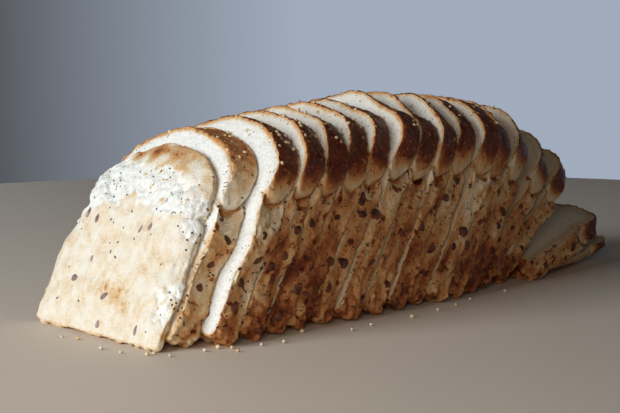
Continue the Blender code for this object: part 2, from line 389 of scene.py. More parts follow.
# %% Unevenness
WAVE_SEED = 41
WAVE_COUNT = 7
WAVE_DEPTH = 0.00032
WAVE_AROUND = (2, 11)
WAVE_ALONG = (30.0, 150.0)
LUMP_WAVES = 26
LUMP_PACES = (0.6, 1.4)
MM = 0.001


def wave_table():
    rng = random.Random(WAVE_SEED)
    waves = []
    for _ in range(WAVE_COUNT):
        around = rng.randint(*WAVE_AROUND)
        along = rng.uniform(*WAVE_ALONG)
        waves.append((around, along, rng.uniform(0, math.tau)))
    return waves


WAVES = wave_table()


def unevenness(angle, along):
    total = 0.0
    for around, pace, phase in WAVES:
        total = total + np.sin(around * angle + pace * along + phase)
    return WAVE_DEPTH * total


def lumps(places, size, seed, stretch=(1.0, 1.0, 1.0)):
    """Soft random bumps about as wide as size. Most values are from -2 to 2."""
    rng = np.random.default_rng(seed)
    total = np.zeros(places.shape[:-1])
    for _ in range(LUMP_WAVES):
        way = rng.normal(size=3)
        way /= np.linalg.norm(way)
        way = way / np.array(stretch) * math.pi / size * rng.uniform(*LUMP_PACES)
        total += np.sin(places @ way + rng.uniform(0, math.tau))
    return total / math.sqrt(LUMP_WAVES / 2)


def layered(places, layers):
    """Lumps of several sizes on each other. A layer is a share, then what lumps takes."""
    return sum(share * lumps(places, *how) for share, *how in layers)


def ease(low, high, value):
    """From 0 at low to 1 at high, with soft ends."""
    share = np.clip((value - low) / (high - low), 0.0, 1.0)
    return share * share * (3 - 2 * share)


def rare(places, share, low, high, *how):
    """A share where lumps stand higher than high, and nothing where they are under low."""
    return share * ease(low, high, lumps(places, *how))


print("waves along the loaf", len(WAVES))

# %% [markdown]
# ## Slices as grids of points
# Every slice is one closed skin, made of loops of points: small loops in the middle of the rear
# cut face, wider ones out to its edge, then a row of loops across the crust, and back in over
# the front face. The two heels have crust on one side, so theirs bulges out in place of the
# second cut face. Close loops near the edge give the crust its thickness.

# %% Loops of a slice
HEEL_RIM = 0.0026
FRONT_HEEL_FOOT = 0.0036
BACK_HEEL_FOOT = 0.0053
HEEL_SLOPE = 0.105
WALL_POWER = 9.0
CROWN_POWER = 2.4
CROWN_FROM = math.radians(32)
CROWN_SOFT = math.radians(18)
FACE_INSETS = (
    0.0003, 0.0007, 0.0012, 0.0018, 0.0026, 0.0036, 0.0050, 0.0070, 0.0105, 0.016, 0.024, 0.033)
HEEL_LOOPS = 58
HEEL_CLOSER = 1.25
HEEL_RIM_LOOPS = 5
CRUST_LOOPS = 15
EDGE = 0.00022
NEXT_TO_EDGE = EDGE * 3.5


def middle_of(number):
    return np.array((0.0, SLICE_HEIGHT * SLICES[number - 1][2] * 0.5))


def lifted(number, path, w):
    """Points of an outline with the long waves on them."""
    middle = middle_of(number)
    arm = path - middle
    lift = unevenness(np.arctan2(arm[:, 1], arm[:, 0]), number * THICK + w)
    length = np.linalg.norm(arm, axis=1)
    loop = middle + arm * (1 + lift / length)[:, None]
    flat = path[:, 1] < CORNER * 0.5
    loop[flat, 0] = path[flat, 0]
    loop[flat, 1] = np.maximum(path[flat, 1] - np.minimum(lift[flat], 0.0) * 0.5, 0.0)
    return loop


def heel_depth(number, flat, ring):
    foot = FRONT_HEEL_FOOT if number == 1 else BACK_HEEL_FOOT
    full = foot + HEEL_SLOPE * flat[:, 1]
    arm = flat - middle_of(number)
    crown = (np.arctan2(arm[:, 1], np.abs(arm[:, 0])) - CROWN_FROM) / CROWN_SOFT
    crown = np.clip(crown + 0.5, 0.0, 1.0)
    power = WALL_POWER + (CROWN_POWER - WALL_POWER) * crown
    return HEEL_RIM + (full - HEEL_RIM) * (1 - ring ** power)


class Loops:
    """The loops of one slice, how far in they lie, and how high their rim is."""

    def __init__(self, number):
        self.number = number
        self.rows = []
        self.inset = []
        self.rim_rise = []

    def add(self, w, inset=0.0, ring=None):
        """A loop at w: on the crust, this far in on a cut face, or on a heel's end."""
        middle = middle_of(self.number)
        path = even_outline(self.number, HEEL_RIM if ring is not None else w)
        arm = lifted(self.number, path, w) - middle
        if ring is not None:
            flat = middle + arm * ring
            depth = heel_depth(self.number, flat, ring)
        else:
            flat = middle + arm * (1 - inset / np.linalg.norm(arm, axis=1))[:, None]
            depth = np.full(len(flat), w)
        self.rows.append(np.column_stack([flat, depth]))
        self.inset.append(inset)
        self.rim_rise.append(path[:, 1] / share_at(self.number, w))


def loops_of(number):
    loops = Loops(number)
    heel = number in (1, BACK_HEEL)
    for inset in FACE_INSETS[::-1]:
        loops.add(0.0, inset)
    top = HEEL_RIM if heel else thickness(number)
    count = HEEL_RIM_LOOPS if heel else CRUST_LOOPS
    between = np.linspace(NEXT_TO_EDGE, top - NEXT_TO_EDGE, count)
    stops = [0.0, EDGE, *between, top - EDGE, top]
    for w in stops[:-2] if heel else stops:
        loops.add(w)
    if heel:
        for step in range(HEEL_LOOPS):
            loops.add(HEEL_RIM, ring=1.0 - (step / HEEL_LOOPS) ** HEEL_CLOSER)
    else:
        for inset in FACE_INSETS:
            loops.add(top, inset)
    if number == BACK_HEEL:
        for rows in (loops.rows, loops.inset, loops.rim_rise):
            rows.reverse()
        loops.rows = [row * np.array((1.0, 1.0, -1.0)) for row in loops.rows]
    return loops


print("loops in a slice", len(loops_of(5).rows), "and in the heel", len(loops_of(1).rows))

# %% [markdown]
# The slices stand where the solids stand. Each leans on the one behind it, and the row is as
# long as that contact makes it, so the same rule gives the same places here.

# %% Places in the row
CENTER_SHIFT = np.array((-0.17808, -0.00461, 0.0))


def stand_points():
    places = [0.0]
    for number in range(2, LAST_STANDING + 1):
        before = math.radians(SLICES[number - 2][0])
        lean = math.radians(SLICES[number - 1][0])
        step = THICK * (math.cos(lean) + math.sin(lean) * math.tan(before))
        if before > lean:
            height = SLICE_HEIGHT * SLICES[number - 2][3] + WAVE_DEPTH * 2
            top = height * math.sin(before)
            level = height * math.cos(before)
            step = top + THICK * math.cos(lean)
            step -= (level - THICK * math.sin(lean)) * math.tan(lean)
        places.append(places[-1] + step + GAP / math.cos(lean))
    return places


def slice_places():
    places = stand_points()
    last = math.radians(SLICES[LAST_STANDING - 1][0])
    lean = math.radians(SLICES[BACK_SLUMPED - 1][0])
    corner_up = SLUMPED_THICK * math.sin(lean)
    slumped = places[-1] + corner_up * math.tan(last) + SLUMPED_THICK * math.cos(lean)
    places.append(slumped + GAP * 2)
    places.append(places[-1] + BACK_HEEL_FOOT * math.tan(lean) + GAP * 3)
    return places


PLACES = slice_places()


def slice_axes(number):
    """Rows that turn u, v and w of a slice into the loaf's X, Y and Z."""
    lean = math.radians(SLICES[number - 1][0])
    across = np.array((0.0, -1.0, 0.0))
    up = np.array((math.sin(lean), 0.0, math.cos(lean)))
    through = np.array((-math.cos(lean), 0.0, math.sin(lean)))
    return np.array((across, up, through))


def to_loaf(number, points):
    lift = BACK_HEEL_FOOT if number == BACK_HEEL else 0.0
    place = np.array((PLACES[number - 1], -SLICES[number - 1][1], lift))
    return points @ slice_axes(number) + place + CENTER_SHIFT


print("row from", round(PLACES[0], 3), "to", round(PLACES[-1], 3), "m")

# %% [markdown]
# ## Relief of the crust
# The long wall touched the tin and came out tan, with dents, pits and lumps where seeds press
# from inside, and a pebbly foot. The dome above the crease is smoother, with fine wrinkles and a
# few blisters. On each slice the dome's lower end hangs down as a round tongue. The front heel
# has a ragged white band where its dome tore away from its wall while it rose.

# %% Where the heel is torn
TORN_TOP = 0.0820
TORN_BOTTOM = 0.0625
TOP_MIDDLE = 0.003
TOP_FALL_RIGHT = 9.0
TOP_RISE_FROM = -0.010
TOP_RISE_LEFT = 16.0
BOTTOM_MIDDLE = 0.002
BOTTOM_FALL = 7.0
TOP_SOFT = (-0.0025, 0.0035)
BOTTOM_SOFT = (-0.0020, 0.0030)
PATCH_MIDDLE = (0.0415, 0.0210)
PATCH_HALF = (0.0060, 0.0105)
PATCH_RAGGED = 260
RAGGED_LAYERS = ((0.0016, 0.006, 61), (0.0011, 0.0020, 62))


def torn_share(number, u, v, tin):
    """1 where the front heel is torn open, 0 where its crust is whole."""
    if number != 1:
        return np.zeros(u.shape)
    ragged = layered(tin, RAGGED_LAYERS)
    right = np.maximum(u - TOP_MIDDLE, 0.0)
    left = np.maximum(TOP_RISE_FROM - u, 0.0)
    top = TORN_TOP - TOP_FALL_RIGHT * right ** 2 + TOP_RISE_LEFT * left ** 2 + ragged
    bottom = TORN_BOTTOM - BOTTOM_FALL * (u - BOTTOM_MIDDLE) ** 2 - ragged * 1.3
    band = ease(*TOP_SOFT, top - v) * ease(*BOTTOM_SOFT, v - bottom)
    patch_u = (u - PATCH_MIDDLE[0]) / PATCH_HALF[0]
    patch_v = (v - PATCH_MIDDLE[1]) / PATCH_HALF[1]
    patch = ease(0.0, 0.5, 1.0 - patch_u ** 2 - patch_v ** 2 + ragged * PATCH_RAGGED)
    return np.maximum(band, patch)


print("torn band from", TORN_BOTTOM * 1000, "to", TORN_TOP * 1000, "mm up the heel")

# %% Relief
CREASE_CUT = 0.0026
CREASE_SOFT = 0.0008
TALL = (1.0, 1.8, 1.0)
DOME_FROM = (CREASE_UP - 0.0005, CREASE_UP + 0.004)
PEBBLE_SIZE = 0.0045
PEBBLE_HIGH = 0.75
PEBBLE_END = (0.009, 0.032)
HEEL_PEBBLES = 0.33
KNOB_HIGH = 1.15
KNOB_ROUND = 0.7
FLUFF_SUNK = 0.35

# Layers of lumps: height in mm, size, seed and stretch
WALL_LAYERS = ((0.26, 0.0085, 11, TALL), (0.28, 0.0034, 12, TALL), (0.17, 0.0015, 13))
KNOB_LAYERS = ((0.36, 0.0019, 16),)
DOME_LAYERS = ((0.28, 0.014, 17), (0.17, 0.0034, 18), (0.11, 0.0014, 19))
HEEL_LAYERS = ((0.20, 0.009, 22), (0.12, 0.0036, 23), (0.08, 0.0016, 21, (1.0, 5.0, 1.0)))
FLUFF_LAYERS = ((0.32, 0.0040, 25), (0.24, 0.0016, 26))

# Rare features: height in mm, where it starts and is full, size, seed and stretch
WALL_PITS = (-0.9, 1.2, 1.9, 0.0040, 14, TALL)
BLISTERS = (0.50, 1.3, 2.2, 0.0048, 20)
HEEL_PITS = (-0.5, 1.6, 2.4, 0.0040, 24, (1.0, 2.2, 1.0))


def pebbles(tin):
    """Rounded knobs with sharp valleys between them, from 0 in a valley to about 2."""
    return np.abs(lumps(tin, PEBBLE_SIZE, 15, (1.0, 1.3, 1.0)))


def pebble_share(number, rise):
    """Where the crust is pebbly: near the foot, and less so on the front heel."""
    share = PEBBLE_HIGH * (1 - ease(*PEBBLE_END, rise))
    return share * (HEEL_PEBBLES if number == 1 else 1.0)


def crust_height(number, tin, rise):
    """How far the crust stands out from its smooth shape."""
    wall = layered(tin, WALL_LAYERS) + rare(tin, *WALL_PITS)
    knobs = KNOB_HIGH * pebbles(tin) ** KNOB_ROUND - 1.0 + layered(tin, KNOB_LAYERS)
    wall = wall + pebble_share(number, rise) * knobs
    top = layered(tin, DOME_LAYERS) + rare(tin, *BLISTERS)
    dome = ease(*DOME_FROM, rise)
    groove = CREASE_CUT * np.exp(-((rise - CREASE_UP) / CREASE_SOFT) ** 2)
    return (wall * (1 - dome) + top * dome) * MM - groove


def heel_height(tin, torn):
    """Relief of a heel's end: faint upright streaks, and fluff where it is torn."""
    whole = layered(tin, HEEL_LAYERS) + rare(tin, *HEEL_PITS)
    fluff = layered(tin, FLUFF_LAYERS) - FLUFF_SUNK
    return (whole * (1 - torn) + fluff * torn) * MM


def grid_normals(rows):
    """Unit directions out of the skin, from each point's neighbours."""
    around = np.roll(rows, -1, axis=1) - np.roll(rows, 1, axis=1)
    across = np.gradient(rows, axis=0)
    out = np.cross(around, across)
    return out / np.maximum(np.linalg.norm(out, axis=2, keepdims=True), 1e-12)


print("the crease cuts", CREASE_CUT * 1000, "mm into the crust")

# %% [markdown]
# Colour follows the oven: pale where the dough was floury or stretched, tan on the tin's walls,
# and dark chestnut on top of the dome. Painted shade darkens the crease and the valleys between
# the knobs of the foot, and the dome's cut rims are paler, partly as crust is and partly as
# painted light. Each point of the skin keeps a number for how brown it is baked, with this painted
# light and shade in it, one for crumb, and one for how deep it lies under the crust. The materials
# read these numbers and add the fine grain.

# %% How brown each point is
THIN_WALL_CRUST = 0.0013
WALL_CRUST = 0.0030
TANNED_STRIP = 0.0060
TANNED_STRIP_END = (0.050, 0.064)
DOME_CRUST = 0.0027
DOME_CRUST_FROM = (0.072, 0.090)
CREASE_SHADE = 0.34
SLICE_TONES = np.random.default_rng(5).normal(0.0, 0.035, len(SLICES))
WALL_TONES = {2: -0.08, 3: -0.09, 4: 0.03, 5: 0.03, 6: 0.03, 11: -0.03, 12: -0.04}
WALL_BASE = 0.33
WALL_DARKER = 0.018
WALL_LAST_DARKER = 10
PALEST_WALL = 0.31
TOP_OF_WALL = (0.050, 0.068)
TOP_OF_WALL_PALER = 0.18
WALL_CLOUDS = ((0.08, 0.012, 31, (1.0, 2.0, 1.0)), (0.08, 0.0040, 36, TALL))
WALL_SPOTS = (0.45, 1.5, 2.2, 0.0030, 38)
TOP_LEVELS = {1: 0.42, 2: 0.60}
FULL_TOP = 0.93


def crust_thickness(number, rise):
    """How deep the crust shows as a ring on a cut face."""
    wall = THIN_WALL_CRUST if number < 4 else WALL_CRUST
    if number == 2:
        wall = wall + (TANNED_STRIP - wall) * (1 - ease(*TANNED_STRIP_END, rise))
    return wall + (DOME_CRUST - wall) * ease(*DOME_CRUST_FROM, rise)


def wall_browning_and_shade(number, tin, rise):
    wall = WALL_BASE + WALL_DARKER * min(number, WALL_LAST_DARKER) + layered(tin, WALL_CLOUDS)
    wall = wall - TOP_OF_WALL_PALER * ease(*TOP_OF_WALL, rise)
    wall = np.maximum(wall, PALEST_WALL) + rare(tin, *WALL_SPOTS)
    wall = wall + SLICE_TONES[number - 1] + WALL_TONES.get(number, 0.0)
    # Painted shade: the valleys between the knobs of the foot are darker, on top of the foot's own
    # darker brown.
    valley_shade = 1 - ease(0.0, 0.7, pebbles(tin))
    return wall + pebble_share(number, rise) * (0.09 + 0.20 * valley_shade)


def dome_browning(number, tin, rise):
    start, full = (0.10, 0.1060) if number == 2 else (0.24, 0.0860)
    climb = ease(CREASE_UP + 0.0005, full, rise + 0.0020 * lumps(tin, 0.010, 32))
    return start + (TOP_LEVELS.get(number, FULL_TOP) - start) * climb


# %% How brown the heel is
HEEL_BASE = 0.095
HEEL_CLOUDS = ((0.020, 0.010, 33), (0.022, 0.003, 34))
HEEL_FOOT_DARKER = 0.17
SCORCH_MIDDLE = (0.007, 0.023)
SCORCH_HALF = (0.015, 0.007)
HEEL_DOME_BASE = 0.13
HEEL_DOME_DARKER = 0.36


def heel_browning(tin, rise, u):
    """A floury end with a scorched place low down, and a tan dome."""
    across = (u - SCORCH_MIDDLE[0]) / SCORCH_HALF[0]
    scorch = np.exp(-across ** 2 - ((rise - SCORCH_MIDDLE[1]) / SCORCH_HALF[1]) ** 2)
    wall = HEEL_BASE + layered(tin, HEEL_CLOUDS)
    wall = wall + scorch * (0.09 + 0.10 * np.abs(lumps(tin, 0.0022, 37)))
    wall = wall + HEEL_FOOT_DARKER * (1 - ease(0.0004, 0.0020, rise))
    dome = HEEL_DOME_BASE + HEEL_DOME_DARKER * ease(0.090, 0.109, rise)
    dome = dome + 0.10 * lumps(tin, 0.005, 35)
    high = ease(0.070, 0.078, rise)
    return wall * (1 - high) + dome * high


print("slice tones from", round(SLICE_TONES.min(), 2), "to", round(SLICE_TONES.max(), 2))

# %% Browning of a whole slice
OVER_CREASE = (CREASE_UP - 0.0008, CREASE_UP + 0.0012)
HEEL_SIDE = (0.0455, 0.0475)
PALE_LIT_RIM = 0.12
PALE_LIT_RIM_WIDE = 0.0020
RING_LEVEL = 0.40
RING_ON_TOP = 0.09
RING_FADES = 0.72
TORN_PALER = 0.25


def browning_with_painted_light(number, tin, rise, rim_rise, u, w, inset, torn):
    """From 0, floury, to 1, nearly burnt, with painted shade in the crease and the foot's valleys,
    and rims paler partly from painted light.
    """
    over = ease(*OVER_CREASE, rise)
    wall = wall_browning_and_shade(number, tin, rise)
    baked_with_painted_light = wall * (1 - over) + dome_browning(number, tin, rise) * over
    # Painted shade: a dark line along the crease groove, where shade falls.
    baked_with_painted_light = baked_with_painted_light + CREASE_SHADE * np.exp(-((rise - CREASE_UP) / CREASE_SOFT) ** 2)
    if number == 1:
        side = ease(*HEEL_SIDE, np.abs(u)) * (1 - over) * 0.5
        baked_with_painted_light = heel_browning(tin, rise, u) * (1 - side) + baked_with_painted_light * side
    elif number < BACK_SLUMPED:
        # The dome's cut rims are paler: partly the crust's own paler edge, partly painted light
        # where the rims catch the window.
        rim = np.minimum(w, thickness(number) - w)
        baked_with_painted_light = baked_with_painted_light - PALE_LIT_RIM * over * (1 - ease(0.0002, PALE_LIT_RIM_WIDE, rim))
    deep = ease(0.0, 1.0, inset / crust_thickness(number, rim_rise))
    ring = RING_LEVEL + RING_ON_TOP * ease(0.074, 0.090, rim_rise)
    baked_with_painted_light = np.where(inset > 0, ring * (1 - RING_FADES * deep), baked_with_painted_light)
    return np.clip(baked_with_painted_light - TORN_PALER * torn, 0.0, 1.0)


print("the crease is darker by", CREASE_SHADE)

# %% Build the skins
TONGUE = 0.0060
TONGUE_SOFT = 0.0080
TONGUE_FROM = 0.030
FLAT_END = (0.25, 0.75)
WORN = 0.00035
WORN_WIDE = 0.0007
RELIEF_FADES = 0.004
DENT = 0.00012
DENT_MORE = 0.00008
skins = {}


def shape_slice(number):
    """Move the points of one slice out to their relief, and note its finish."""
    loops = loops_of(number)
    rows = np.array(loops.rows)
    inset = np.array(loops.inset)[:, None] + np.zeros(rows.shape[:2])
    rim_rise = np.array(loops.rim_rise)
    heel = number in (1, BACK_HEEL)
    thick = thickness(number)
    on_crust = inset == 0.0
    u, v, w = rows[..., 0], rows[..., 1].copy(), rows[..., 2]
    front, rear = SLICES[number - 1][2:]
    rise = v / (rear + (front - rear) * np.clip(w / thick, 0.0, 1.0))
    tin = np.stack([u, v, w + number * THICK], axis=-1)
    if not heel:
        half_way = 1 - (2 * w / thick - 1) ** 2
        tongue = (half_way - 0.45) * np.exp(-((rise - CREASE_UP) / TONGUE_SOFT) ** 2)
        rows[..., 1] -= TONGUE * tongue * (np.abs(u) > TONGUE_FROM)
    out = grid_normals(rows)
    torn = torn_share(number, u, v, tin) * on_crust
    relief = crust_height(number, tin, rise)
    if heel:
        flat_end = ease(*FLAT_END, np.abs(out[..., 2]))
        relief = relief * (1 - flat_end) + heel_height(tin, torn) * flat_end
    edge = np.abs(w) if heel else np.minimum(w, thick - w)
    worn = WORN * (1 + 0.35 * lumps(tin, 0.003, 41)) * (1 - ease(0.0, WORN_WIDE, edge))
    relief = (relief - worn) * (1 - ease(0.0, RELIEF_FADES, inset))
    points = rows + out * relief[..., None]
    side = -1.0 if number == 1 else 1.0
    if not heel:
        side = np.sign(w - thick * 0.5)
    dent = DENT + DENT_MORE * np.abs(lumps(tin, 0.006, 42))
    points[..., 2] -= np.where(on_crust, 0.0, side * dent)
    world_points = to_loaf(number, points)
    world_points[..., 2] = np.maximum(world_points[..., 2], 0.0)
    skins[number] = {
        "points": world_points, "out": grid_normals(world_points), "tin": tin, "rise": rise,
        "crust": on_crust, "torn": torn, "from_rim": inset,
        "depth": np.maximum(inset / crust_thickness(number, rim_rise), torn * 3.0),
        "crumb": np.maximum(1.0 - on_crust, torn),
        "baked_with_painted_light": browning_with_painted_light(number, tin, rise, rim_rise, u, w, inset, torn),
    }


for number in NUMBERS:
    shape_slice(number)
print("skin points", sum(skin["rise"].size for skin in skins.values()))

# %% [markdown]
# A skin turns into a mesh of four-sided faces between the loops, with a point in the middle of
# each end. The finish numbers go along as attributes of the points.

# %% Skins to meshes
def link_piece(name, mesh, material, replaced=None):
    piece = bpy.data.objects.new(name, mesh)
    bpy.context.scene.collection.objects.link(piece)
    mesh.materials.append(material)
    for polygon in mesh.polygons:
        polygon.use_smooth = True
    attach(piece, "root")
    if replaced:
        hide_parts(replaced)
    return piece


def loop_faces(row_count, count):
    faces = []
    for row in range(row_count - 1):
        low = row * count
        for spot in range(count):
            after = (spot + 1) % count
            faces.append((low + spot, low + after, low + count + after, low + count + spot))
    rear_tip = row_count * count
    front = (row_count - 1) * count
    for spot in range(count):
        after = (spot + 1) % count
        faces.append((rear_tip, after, spot))
        faces.append((rear_tip + 1, front + spot, front + after))
    return faces


def with_tips(values):
    """Values of all points, and of the middle point of each end."""
    flat = values.reshape(-1, *values.shape[2:])
    return np.concatenate([flat, values[:1].mean(axis=1), values[-1:].mean(axis=1)])


def skin_mesh(number):
    skin = skins[number]
    mesh = bpy.data.meshes.new(f"bread_{number:02d}")
    row_count, count = skin["rise"].shape
    points = with_tips(skin["points"])
    mesh.from_pydata(points.tolist(), [], loop_faces(row_count, count))
    for name in ("baked_with_painted_light", "crumb", "depth"):
        layer = mesh.attributes.new(name, "FLOAT", "POINT")
        layer.data.foreach_set("value", with_tips(skin[name]).astype(np.float32))
    layer = mesh.attributes.new("tin", "FLOAT_VECTOR", "POINT")
    layer.data.foreach_set("vector", with_tips(skin["tin"]).astype(np.float32).ravel())
    return mesh


# %% [markdown]
# ## Bread as a material
# One material serves all slices. A colour ramp holds the colours of crust from floury to nearly
# burnt, and the browning number picks from it, pushed up and down by noise so that no two places
# are alike. Crumb is a warm white with pores. The darker the crust, the glossier it is.

# %% Colors and grain of bread
CRUST_COLORS = (
    (0.00, (0.84, 0.78, 0.67)),
    (0.13, (0.80, 0.68, 0.51)),
    (0.28, (0.70, 0.49, 0.27)),
    (0.44, (0.62, 0.315, 0.120)),
    (0.60, (0.45, 0.162, 0.052)),
    (0.78, (0.215, 0.046, 0.011)),
    (1.00, (0.075, 0.012, 0.004)),
)
CRUMB_LIGHT = (0.90, 0.895, 0.85, 1.0)
CRUMB_DARK = (0.80, 0.77, 0.69, 1.0)
# Tan of crumb near the crust, also used as painted shade low on the walls and on the last slices.
CRUMB_TAN_AND_SHADE = (0.72, 0.53, 0.33, 1.0)
TAN_FROM = (0.044, 0.062)
TAN_HEIGHT = (0.066, 0.084)
SHADED_SLICES_FROM = (0.150, 0.215)

# Noises: features in a metre, detail and roughness
PATCHES = (190.0, 6.0, 0.72)
GRAIN = (1100.0, 3.0, 0.6)
FLECKS = (520.0, 2.0)
SPECKS = (430.0, 2.0)
CRUMB_GRAIN = (650.0, 4.0, 0.6)
EDGE_GRAIN = (330.0, 4.0, 0.6)
PORES = 700.0

# How far each of them pushes the browning up or down
PATCH_PUSH = 0.75
GRAIN_PUSH = 0.34
FLECK_PUSH = -0.30
SPECK_PUSH = 0.26
EDGE_PUSH = 1.6
SHINE = 0.21


print("crust colors", len(CRUST_COLORS))


# %% Bread
def crust_color(board, baked_with_painted_light, tin, patches, grain):
    level = board.add_scaled(baked_with_painted_light, board.math("SUBTRACT", patches, 0.5), PATCH_PUSH)
    level = board.add_scaled(level, board.math("SUBTRACT", grain, 0.5), GRAIN_PUSH)
    flecks = board.spread(board.noise(tin, *FLECKS), 0.58, 0.70)
    dark_top = board.spread(baked_with_painted_light, 0.70, 0.90)
    level = board.add_scaled(level, board.math("MULTIPLY", flecks, dark_top), FLECK_PUSH)
    specks = board.spread(board.noise(tin, *SPECKS), 0.61, 0.69)
    tanned = board.spread(baked_with_painted_light, 0.24, 0.38)
    level = board.add_scaled(level, board.math("MULTIPLY", specks, tanned), SPECK_PUSH)
    return board.ramp(level, CRUST_COLORS)


def crumb_color(board, tin, depth):
    """Near white, but tan close to the crust, partly its own colour and partly painted shade that
    is strongest low down, and with painted shade on the last slices.
    """
    grain = board.spread(board.noise(tin, *CRUMB_GRAIN), 0.34, 0.58)
    crumb = board.blend(grain, CRUMB_DARK, CRUMB_LIGHT)
    along = board.part(tin, "Z")
    # Tan near the rim, strongest low down: partly the crumb's own tan next to the crust, partly
    # painted shade.
    near_rim = board.spread(depth, 1.0, 3.6, 1.0, 0.0)
    low_down = board.spread(board.part(tin, "Y"), *TAN_HEIGHT, 0.85, 0.30)
    tan = board.math("MULTIPLY", near_rim, low_down)
    tan = board.math("MULTIPLY", tan, board.spread(along, *TAN_FROM))
    # Painted shade: the crumb of the last slices, which lie in shade, turns duller.
    tan = board.math("ADD", tan, board.spread(along, *SHADED_SLICES_FROM, 0.0, 0.55), clamp=True)
    return board.blend(tan, crumb, CRUMB_TAN_AND_SHADE)


def bread_material():
    material, board, finish = new_material("bread")
    tin = board.attribute("tin", "Vector")
    baked_with_painted_light = board.attribute("baked_with_painted_light")
    patches = board.noise(board.stretch(tin, (1.0, 0.75, 1.0)), *PATCHES)
    grain = board.noise(tin, *GRAIN)
    crust = crust_color(board, baked_with_painted_light, tin, patches, grain)
    edge_noise = board.math("SUBTRACT", board.noise(tin, *EDGE_GRAIN), 0.5)
    depth = board.add_scaled(board.attribute("depth"), edge_noise, EDGE_PUSH)
    crumb = crumb_color(board, tin, depth)
    is_crumb = board.math("MULTIPLY", board.attribute("crumb"), board.spread(depth, 0.45, 1.25))
    board.wire(board.blend(is_crumb, crust, crumb), finish["Base Color"])
    gloss = board.spread(baked_with_painted_light, 0.45, 0.92, 0.72, 0.36)
    board.wire(board.add_scaled(gloss, is_crumb, 0.2), finish["Roughness"])
    finish["Specular IOR Level"].default_value = SHINE
    rough_skin = board.bump(patches, 0.0016, 0.6)
    fine = board.bump(grain, 0.0005, 0.8, rough_skin)
    pores = board.spread(board.cells(tin, PORES), 0.0, 0.45)
    holes = board.bump(pores, 0.00035, board.math("MULTIPLY", is_crumb, 0.6), fine)
    board.wire(holes, finish["Normal"])
    return material


BREAD = bread_material()
for number in NUMBERS:
    name = f"bread_{number:02d}"
    link_piece(name, skin_mesh(number), BREAD, f"slice_{number:02d}")
print("slices made", len(NUMBERS))

# %% [markdown]
# ## Seeds
# Many kinds of seed are in and on this bread. Big flat dark ones sit in the walls, and in the
# front heel a veil of dough makes them paler. Small dark ones are everywhere, tiny black poppy
# seeds dot the torn band, and round millet and pale flakes lie on the domes. Each kind is one mesh
# of small teardrop bodies, pressed into the bread.

# %% Seed bodies
def seed_body(sides, bands, taper):
    """Points and faces of a unit teardrop, its two tips last."""
    points = []
    for band in range(1, bands):
        turn = math.pi * band / bands
        along = -math.cos(turn)
        round_here = math.sin(turn) * (1 - taper * along)
        for side in range(sides):
            angle = math.tau * side / sides
            points.append((along, round_here * math.cos(angle), round_here * math.sin(angle)))
    points += [(-1.0, 0.0, 0.0), (1.0, 0.0, 0.0)]
    return np.array(points), loop_faces(bands - 1, sides)


def seed_frame(out, turn, guide):
    """Directions along, across and out of a seed that lies on the skin."""
    out = out / np.linalg.norm(out)
    if abs(out @ guide) > 0.95:
        guide = np.array((1.0, 0.0, 0.0))
    first = np.cross(guide, out)
    first /= np.linalg.norm(first)
    second = np.cross(out, first)
    along = first * math.cos(turn) + second * math.sin(turn)
    return np.array((along, np.cross(out, along), out))


class SeedKind:
    """Collects the seeds of one kind, and joins them to one piece."""

    def __init__(self, name, sides, bands, taper):
        self.name = name
        self.body, self.faces = seed_body(sides, bands, taper)
        self.points = []
        self.all_faces = []

    def add(self, place, out, size, turn, sink=0.0, guide=np.array((0.0, 0.0, 1.0))):
        axes = seed_frame(out, turn, guide)
        base = len(self.points) * len(self.body)
        middle = place - axes[2] * sink
        points = (self.body * np.array(size)) @ axes + middle
        points[:, 2] = np.maximum(points[:, 2], 0.0)
        self.points.append(points)
        self.all_faces.extend(tuple(base + spot for spot in face) for face in self.faces)

    def make(self, material):
        mesh = bpy.data.meshes.new(self.name)
        mesh.from_pydata(np.concatenate(self.points).tolist(), [], self.all_faces)
        print(self.name, len(self.points), "seeds,", len(self.all_faces), "faces")
        return link_piece(self.name, mesh, material)


big = SeedKind("big_dark_seeds", 12, 8, 0.28)
veiled = SeedKind("veiled_seeds", 12, 8, 0.25)
small = SeedKind("small_dark_seeds", 6, 4, 0.25)
poppy = SeedKind("poppy_seeds", 6, 4, 0.0)
millet = SeedKind("millet", 10, 7, 0.0)
flakes = SeedKind("pale_flakes", 8, 4, 0.2)
crumbs = SeedKind("loose_crumbs", 5, 4, 0.3)
print("a big seed has", len(big.faces), "faces, and a small one", len(small.faces))

# %% [markdown]
# The big seeds that the solids carry come first, from the same seeded draws, so that both models
# have them in the same places.

# %% Big seeds of the solids
SEED_LENGTH = (0.0023, 0.0037)
SEED_WIDTH = (0.0015, 0.0022)
SEED_PROUD = (0.0009, 0.0013)
SEED_CLEAR = 0.0005
DOME_SEED_PART = 0.62
SEEDS_A_SIDE = 4
SEEDS_ON_DOME = 2
SEEDS_ON_BACK_HEEL = 9
SEED_SPACING = 0.0075
HEEL_SEED_PROUD = 0.0008
HEEL_SEED_REACH = 0.66

# Seeds in the front heel: u, v, half length, half width, turn in degrees from u
FRONT_HEEL_SEEDS = (
    (-0.0256, 0.0230, 0.0021, 0.0018, 10), (0.0016, 0.0181, 0.0024, 0.0014, 42),
    (-0.0313, 0.0543, 0.0026, 0.0012, 78), (-0.0229, 0.0522, 0.0025, 0.0012, 84),
    (0.0178, 0.0520, 0.0023, 0.0011, 80), (0.0022, 0.0050, 0.0019, 0.0012, 95),
    (0.0299, 0.0062, 0.0024, 0.0011, 85), (-0.0167, 0.0333, 0.0018, 0.0010, 82),
    (0.0119, 0.0503, 0.0020, 0.0009, 70),
)


